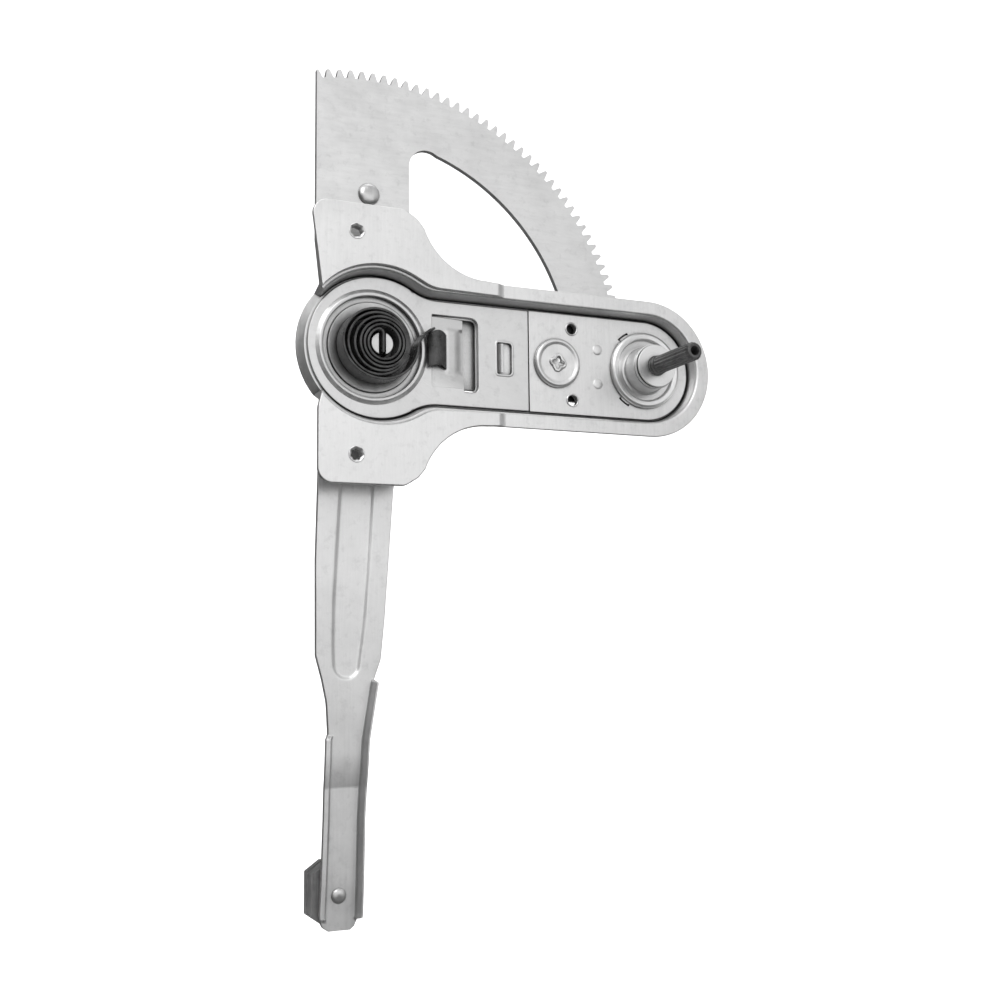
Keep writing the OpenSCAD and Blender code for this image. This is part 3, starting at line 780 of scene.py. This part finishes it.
def turned(name, node, finish, inner, outer, soft, body):
    """A round washer or cap between the levels of its CAD node, with rolled edges."""
    low, high = back(node), front(node)
    x = (middle(node).x - PIVOT_X) / MM
    profile = corners([(inner, low, soft), (outer, low, soft), (outer, high, soft), (inner, high, soft)])
    return piece(name, Shape().lathe(x, 0, profile), body, finish, [node])


def spindle():
    """Serrated crank spindle with a plain journal, a relief groove, and the handle screw's hole."""
    tip = front("spindle")
    low = back("spindle")
    profile = corners([
        (0, low, 0), (4.4, low, 0.3), (4.9, low + 0.5, 0), (4.9, 18.1, 0.2), (4.1, 18.4, 0.3),
        (4.1, 19.4, 0.3), (4.75, 19.8, 0.3), (4.75, 20.8, 0.3), (4.2, 21.1, 0.3),
        (4.2, FLUTES_FROM, 0.3)], closed=False)
    profile += [(SPINDLE_R, FLUTES_FROM + 0.4 + k) for k in range(29)]
    profile += corners([
        (SPINDLE_R, tip - 1.4, 0), (3.7, tip - 0.2, 0.3), (3.3, tip, 0.2), (2.3, tip, 0.2),
        (2.05, tip - 0.8, 0), (2.0, tip - 10, 0.4), (0, tip - 10.6, 0)], closed=False)

    def flutes(angle, radius, h):
        """The serrations, fading out at the groove and at the tip."""
        length = smooth(FLUTES_FROM, 22.6, h) * (1 - smooth(tip - 1.7, tip - 0.9, h))
        cut = FLUTE_DEPTH * length * (radius > 4.0)
        return -cut * (0.5 + 0.5 * math.cos(math.radians(SERRATIONS * angle))), 0

    shape = Shape().lathe(CRANK, 0, profile, SERRATIONS * 8, flutes)
    return piece("spindle_shaft", shape, "crank", SPINDLE_BLACK, ["spindle"])


# ---------------------------------------------------------------- spiral spring

SPRING_T = 1.1
SPRING_LOW = 6.3
SPRING_TOP = SPRING_LOW + 9.0
COIL_START = 108
COIL_END = 2150
COIL_INNER_R = 6.8
COIL_OUTER_R = 17.0
COIL_STEPS = 240
COIL_SLACK = 2.8
HOOK_LEFT = 25.0
HOOK_W = 9.6
HOOK_TOP = 9.6
HOOK_LENGTH = 16.4
HOOK_RISE = 2.6
HOOK_ARCH = 1.5
HOOK_CUTS = (28, 16)
BAR_LINE = [(0, -4.4), (0, 0), (0, 4.6), (-0.25, 5.4), (-0.7, 6.0)]
BESIDE_POST = [(-0.95, 6.15)]
TO_HOOK = [(17.1, 0.4), (17.7, 2.0), (18.6, 3.8), (20.4, 6.1), (22.6, 7.9), (25.0, 9.1)]


def coil_line():
    """(x, z) down the middle of the strip, from next to the post round the coil to the hook."""
    turns = []
    for i in range(COIL_STEPS + 1):
        t = i / COIL_STEPS
        a = COIL_START + (COIL_END - COIL_START) * i / COIL_STEPS
        slack = COIL_SLACK * smooth(0.35, 0.90, t) * (1 - smooth(1960, 2140, a))
        turns.append(polar(COIL_INNER_R + (COIL_OUTER_R - COIL_INNER_R) * i / COIL_STEPS, a, -slack))
    return BESIDE_POST + turns + TO_HOOK


def strip(line):
    """The spring's flat strip with rounded edges, on edge along a line.

    Its back edge reaches deeper in the coil's outer turns, where the floor lies lower.
    """
    half = SPRING_T / 2
    section = corners([(half, SPRING_LOW, 0.25), (half, SPRING_TOP, 0.3), (-half, SPRING_TOP, 0.3),
                       (-half, SPRING_LOW, 0.25)], steps=3)
    rows = []
    for i, p in enumerate(line):
        way = Vector(line[min(i + 1, len(line) - 1)]) - Vector(line[max(i - 1, 0)])
        side = Vector((way.y, -way.x)).normalized()
        out = Vector(p).length
        deep = 1.6 * smooth(9.2, 11.5, out) * (1 - smooth(17.4, 20, out))
        rows.append([at(p[0] + side.x * o, p[1] + side.y * o, h - deep * (h < SPRING_LOW + 1))
                     for o, h in section])
    return Shape().skin(rows, ring=True).fill(rows[0]).fill(rows[-1])


def spring():
    """The coil stays with the flap; its inner end is a piece apart, which turns with the post."""
    piece("spiral_strip", strip(coil_line()), "frame", SPRING_BLACK, ["spiral_spring"])
    piece("strip_bar", strip(BAR_LINE), "sector", SPRING_BLACK)


def hook():
    """The strip's outer end, bent broad and curved under the tongue."""
    base = flap_level(25.4, 0) + 1.3
    rows = []
    for k in range(HOOK_CUTS[0] + 1):
        z = HOOK_TOP - HOOK_LENGTH * k / HOOK_CUTS[0]
        fore = []
        aft = []
        for i in range(HOOK_CUTS[1] + 1):
            t = i / HOOK_CUTS[1]
            x = HOOK_LEFT + HOOK_W * t
            h = base + HOOK_RISE * math.sin(math.pi * min(1, t * 0.93 + 0.07)) ** 0.8 - 1.2 * t
            arched = z + HOOK_ARCH * math.sin(math.pi * t) - 0.8
            fore.append(at(x, arched, h))
            aft.append(at(x, arched, h - SPRING_T))
        rows.append(fore + aft[::-1])
    shape = Shape().skin(rows, ring=True).fill(rows[0]).fill(rows[-1])
    return piece("strip_hook", shape, "frame", SPRING_BLACK)


# ---------------------------------------------------------------- lift arm

# (z, x) points: the arm's two edges from the hub's end down, and the two sides of the bead
ARM_LEFT = [(80, -2), (78, -8), (70, -12), (30, -12), (20, -24), (-60, -25), (-98, -26), (-141, -25.7),
            (-152, -22.7), (-162, -20.6), (-176, -19.8), (-178, -21), (-213, -21.8), (-247, -23.2),
            (-254, -23.6), (-257, -23.2), (-259.5, -21.9), (-261, -19.8), (-261.8, -17.4)]
ARM_RIGHT = [(80, -2), (78, 4), (70, 8), (34, 8), (20, 22), (-18, 24), (-64, 11), (-98, 8.6), (-125, 6.6),
             (-143, 4.8), (-152, 1.6), (-161, 0.1), (-179, -2.8), (-196, -3.7), (-213, -4.7), (-231, -5.2),
             (-247, -5.7), (-254, -5.9), (-257, -6.4), (-259.6, -7.6), (-261.2, -9.6), (-261.8, -11.6)]
BEAD_LEFT = [(-34, -14.6), (-64, -15.3), (-90, -16.8), (-117, -18.3), (-137, -18.6), (-146, -18.2)]
BEAD_RIGHT = [(-34, 2.2), (-63, 1.8), (-90, 0.4), (-110, -1), (-127, -2.4), (-146, -4.9)]
# (x, z) in the middle of the bead's round end
BEAD_END = (-11.55, -145.4)
BEAD_R = 6.65
BEAD_TOP = -34
BEAD_DEPTH = 0.75
HUB_R = 27.0
ARM_TOP = 79.9
ARM_END = -261.2
LEFT_FLANGE = 2.0
RIGHT_FLANGE = 4.9
FLANGE_LEAN = 0.2
LEFT_FROM = -176.5
RIGHT_FROM = -152.0
FLANGE_END = (-255.6, -256.8)
LEFT_WALL = 2.2
RIGHT_WALL = 0.9
SINK_FROM = -184
CREASE = -199.5
SINK_TO = -245
SINK_DEPTH = 0.9
WEB_CUTS = 44


def bead_depth(x, z):
    """How far the web is pressed back at a place; 0 outside the bead."""
    if z < BEAD_END[1]:
        inside = BEAD_R - math.dist((x, z), BEAD_END)
    else:
        inside = min(x - along(BEAD_LEFT, z), along(BEAD_RIGHT, z) - x, BEAD_TOP - z)
    return BEAD_DEPTH * smooth(0, 1.6, inside)


def flange(z, start):
    """1 where a side flange stands up, 0 above its start and at the rounded end."""
    return smooth(start, start - 1.4, z) * (1 - smooth(*FLANGE_END, z))


def arm_side(edge, into, rise, wall):
    """(x, level) points from the back face round one edge to the web; into is the way to the middle."""
    web = ARM_BACK + ARM_T
    bend = min(1.0, rise)
    tip = edge - into * FLANGE_LEAN * rise
    inner = edge + into * 6
    points = [(inner, ARM_BACK, 0), (edge, ARM_BACK, 0.3 + 2.0 * bend), (tip, web + rise, 0.4),
              (tip + into * wall, web + rise, 0.4), (edge + into * (wall + 0.5), web, 0.05 + 0.8 * bend),
              (inner, web, 0)]
    return corners(points, closed=False, steps=4)[1:-1]


def arm_sink(z):
    """The set in the channel half: it dips away from the viewer to a crease, then comes back slowly."""
    dip = min(1.0, max(0.0, (SINK_FROM - z) / (SINK_FROM - CREASE)))
    return SINK_DEPTH * dip * dip * (1 - smooth(CREASE, SINK_TO, z))


def arm_edges(z):
    """x of the arm's left and right edges."""
    left, right = along(ARM_LEFT, z), along(ARM_RIGHT, z)
    if abs(z) < HUB_R:
        bulge = math.sqrt(HUB_R ** 2 - z ** 2)
        left, right = min(left, -bulge), max(right, bulge)
    return left, right


def between(a, b, level):
    """Finely spaced (x, level) points between two places, without the places themselves."""
    return [(a + (b - a) * k / WEB_CUTS, level) for k in range(1, WEB_CUTS)]


def arm_row(z):
    """One cross-section of the arm: both edges, joined by finely cut web and back faces."""
    left, right = arm_edges(z)
    west = arm_side(left, 1, LEFT_FLANGE * flange(z, LEFT_FROM), LEFT_WALL)
    east = arm_side(right, -1, RIGHT_FLANGE * flange(z, RIGHT_FROM), RIGHT_WALL)[::-1]
    if right - left < 14:
        centre = (left + right) / 2
        west = [(max(left, min(x, centre)), h) for x, h in west]
        east = [(min(right, max(x, centre)), h) for x, h in east]
    web = between(west[-1][0], east[0][0], ARM_BACK + ARM_T)
    under = between(east[-1][0], west[0][0], ARM_BACK)
    sink = arm_sink(z)
    return [at(x, z, h - sink - (bead_depth(x, z) if left + 2 < x < right - 2 else 0))
            for x, h in west + web + east + under]


def arm_step(z):
    """Rows lie closer at both ends, round the bead's end, at the flanges' starts and over the crease."""
    bent = -134 > z > -156 or -173 > z > -182 or SINK_FROM > z > -203
    return 0.5 if bent or z < -250 or z > 60 else 2.5


def arm():
    """The lift arm, lofted from its hub end to the shoe end."""
    rows = []
    z = ARM_TOP
    while z > ARM_END:
        rows.append(arm_row(z))
        z -= arm_step(z)
    shape = Shape().skin(rows, ring=True).fill(rows[0]).fill(rows[-1])
    return piece("arm_sheet", shape, "sector", ZINC_ARM, ["lift_arm"])


# ---------------------------------------------------------------- CAD nodes that stay

# finish and edge radius
CAD_FINISH = {
    "sector_gear": (ZINC_GEAR, 0.3),
    "arm_rivet": (ZINC_SMALL, 0.25),
    "pivot_post": (ZINC_SMALL, 0.25),
    "pivot_washer": (ZINC_SMALL, 0.2),
    "pivot_clip": (ZINC_SMALL, 0.15),
    "shoe_stud": (ZINC_SMALL, 0.25),
    "spindle_bush": (ZINC_SMALL, 0.15),
    "pinion": (ZINC_SMALL, 0.15),
    "input_dog": (ZINC_SMALL, 0.2),
    "brake_spring": (SPRING_BLACK, 0),
    "pinion_clip": (ZINC_SMALL, 0.15),
    "guide_shoe": (NYLON_GREY, 0.5),
}


def finish_cad(node, finish, width):
    """A CAD node's own finish, and the small radius that pressing and plating leave on its edges."""
    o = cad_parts[node]
    o.data.materials.clear()
    o.data.materials.append(finish)
    if not width:
        return
    weld = o.modifiers.new("weld", "WELD")
    weld.merge_threshold = 0.002 * MM
    flat = o.modifiers.new("flat", "DECIMATE")
    flat.decimate_type = "DISSOLVE"
    flat.angle_limit = math.radians(0.5)
    bevel = o.modifiers.new("bevel", "BEVEL")
    bevel.width = width * MM
    bevel.segments = 3
    bevel.limit_method = "ANGLE"
    bevel.angle_limit = math.radians(40)
    bevel.harden_normals = True


tray()
spring_seat()
wing("upper_wing", 1, UPPER_LEAN)
wing("lower_wing", -1, LOWER_LEAN)
ring_plate()
flap()
slot_lip()
crank_plate()
button()
drum()
turned("drum_lid", "drum_cap", ZINC_DRUM, 5.3, DRUM_R + 0.2, 0.35, "frame")
turned("wavy_washer", "wave_washer", SPINDLE_BLACK, 4.9, 8.6, 0.15, "crank")
turned("top_washer", "spindle_washer", ZINC_DRUM, 4.9, 10.6, 0.3, "crank")
spindle()
spring()
hook()
arm()
for name, (finish, width) in CAD_FINISH.items():
    finish_cad(name, finish, width)


# ---------------------------------------------------------------- stage, light, camera

FLOOR_Z = cad_box[0].z - 30 * MM


def backdrop():
    """A pale floor that curves up into a wall, well behind the object."""
    depth = 1.6
    rise = 2.4
    bend = 0.5
    half = 3.0
    curve = [(depth - bend + bend * u, bend + bend * v) for u, v in arc(0, 0, 1, -90, 0, 7)]
    profile = [(-2.4, 0.0)] + curve + [(depth, rise)]
    rows = [[Vector((x, y, FLOOR_Z + z)) for x in (-half, half)] for y, z in profile]
    shape = Shape().skin(rows)
    mesh = bpy.data.meshes.new("backdrop")
    mesh.from_pydata(shape.points, [], shape.faces)
    mesh.polygons.foreach_set("use_smooth", [True] * len(mesh.polygons))
    o = bpy.data.objects.new("backdrop", mesh)
    bpy.context.scene.collection.objects.link(o)
    n = Nodes("backdrop_paper")
    n.link(n.ramp(n.noise(6), (0.3, 0.90), (0.7, 0.93)), n.shader.inputs["Base Color"])
    n.shader.inputs["Roughness"].default_value = 0.9
    n.shader.inputs["Specular IOR Level"].default_value = 0.1
    n.shader.inputs["Emission Color"].default_value = (1, 1, 1, 1)
    n.shader.inputs["Emission Strength"].default_value = 0.55
    mesh.materials.append(n.material)
    o.visible_glossy = False


def softbox(name, place, size, power, target):
    """A rectangular lamp that faces its target."""
    light = bpy.data.lights.new(name, "AREA")
    light.shape = "RECTANGLE"
    light.size, light.size_y = size
    light.energy = power
    o = bpy.data.objects.new(name, light)
    o.location = place
    o.rotation_euler = (Vector(target) - Vector(place)).to_track_quat("-Z", "Y").to_euler()
    bpy.context.scene.collection.objects.link(o)


BRIGHT_WAY = (0.40, -0.91, 0.12)
ROOM_LIGHT = 0.78
ROOM_DARK = 0.13
ROOM_HEIGHTS = [(0.0, 0.05), (0.36, 0.10), (0.44, 0.45), (0.56, 0.74), (0.72, 0.90), (1.0, 0.95)]


def spread(tree, value, start, end):
    """A smooth change from the room's dark level to 1 as the value goes from start to end."""
    node = tree.nodes.new("ShaderNodeMapRange")
    node.interpolation_type = "SMOOTHSTEP"
    node.inputs["From Min"].default_value = start
    node.inputs["From Max"].default_value = end
    node.inputs["To Min"].default_value = ROOM_DARK
    node.inputs["To Max"].default_value = 1.0
    tree.links.new(value, node.inputs["Value"])
    return node.outputs["Result"]


def by_height(tree, height):
    """The room's grey at each height, from -1 at the bottom to 1 at the top."""
    shift = tree.nodes.new("ShaderNodeMath")
    shift.operation = "MULTIPLY_ADD"
    shift.inputs[1].default_value = 0.5
    shift.inputs[2].default_value = 0.5
    tree.links.new(height, shift.inputs[0])
    ramp = tree.nodes.new("ShaderNodeValToRGB")
    tree.links.new(shift.outputs[0], ramp.inputs["Fac"])
    elements = ramp.color_ramp.elements
    while len(elements) < len(ROOM_HEIGHTS):
        elements.new(0.5)
    for element, (position, value) in zip(elements, ROOM_HEIGHTS):
        element.position = position
        element.color = (*grey(value), 1)
    return ramp.outputs["Color"]


def room():
    """A room that is light above and on the camera's right, and dark elsewhere."""
    world = bpy.data.worlds.new("world")
    bpy.context.scene.world = world
    world.use_nodes = True
    tree = world.node_tree
    way = tree.nodes.new("ShaderNodeTexCoord").outputs["Generated"]
    split = tree.nodes.new("ShaderNodeSeparateXYZ")
    tree.links.new(way, split.inputs[0])
    toward = tree.nodes.new("ShaderNodeVectorMath")
    toward.operation = "DOT_PRODUCT"
    toward.inputs[1].default_value = BRIGHT_WAY
    tree.links.new(way, toward.inputs[0])
    both = tree.nodes.new("ShaderNodeMath")
    both.operation = "MAXIMUM"
    tree.links.new(spread(tree, toward.outputs["Value"], 0.05, 0.85), both.inputs[0])
    tree.links.new(spread(tree, split.outputs["Z"], 0.30, 0.80), both.inputs[1])
    shade = tree.nodes.new("ShaderNodeVectorMath")
    shade.operation = "SCALE"
    tree.links.new(by_height(tree, split.outputs["Z"]), shade.inputs[0])
    tree.links.new(both.outputs[0], shade.inputs["Scale"])
    background = tree.nodes["Background"]
    tree.links.new(shade.outputs[0], background.inputs["Color"])
    background.inputs["Strength"].default_value = ROOM_LIGHT


def lamps():
    """Three soft boxes round the object."""
    centre = (cad_box[0] + cad_box[1]) / 2
    softbox("key", centre + Vector((-0.7, -1.2, 1.1)), (1.0, 1.0), 9, centre)
    softbox("fill", centre + Vector((0.2, -1.5, 0.2)), (1.4, 1.0), 3, centre)
    softbox("top", centre + Vector((0.1, 0.1, 1.5)), (1.4, 1.0), 5, centre)


CAMERA_PLACE = at(-186.4, -140.9, 565.0)
CAMERA_TURN = (96.73, 0.62, -23.80)
CAMERA_LENS = 46.8
CAMERA_FILM = 36


def camera():
    """The photograph's view: from the lower left, close to the object, tilted a little."""
    data = bpy.data.cameras.new("camera")
    data.lens = CAMERA_LENS
    data.sensor_width = CAMERA_FILM
    data.clip_start = 0.05
    data.clip_end = 20
    o = bpy.data.objects.new("camera", data)
    o.location = CAMERA_PLACE
    o.rotation_euler = Euler([math.radians(a) for a in CAMERA_TURN])
    bpy.context.scene.collection.objects.link(o)
    bpy.context.scene.camera = o


backdrop()
lamps()
room()
camera()
bpy.context.scene.view_settings.view_transform = "Standard"
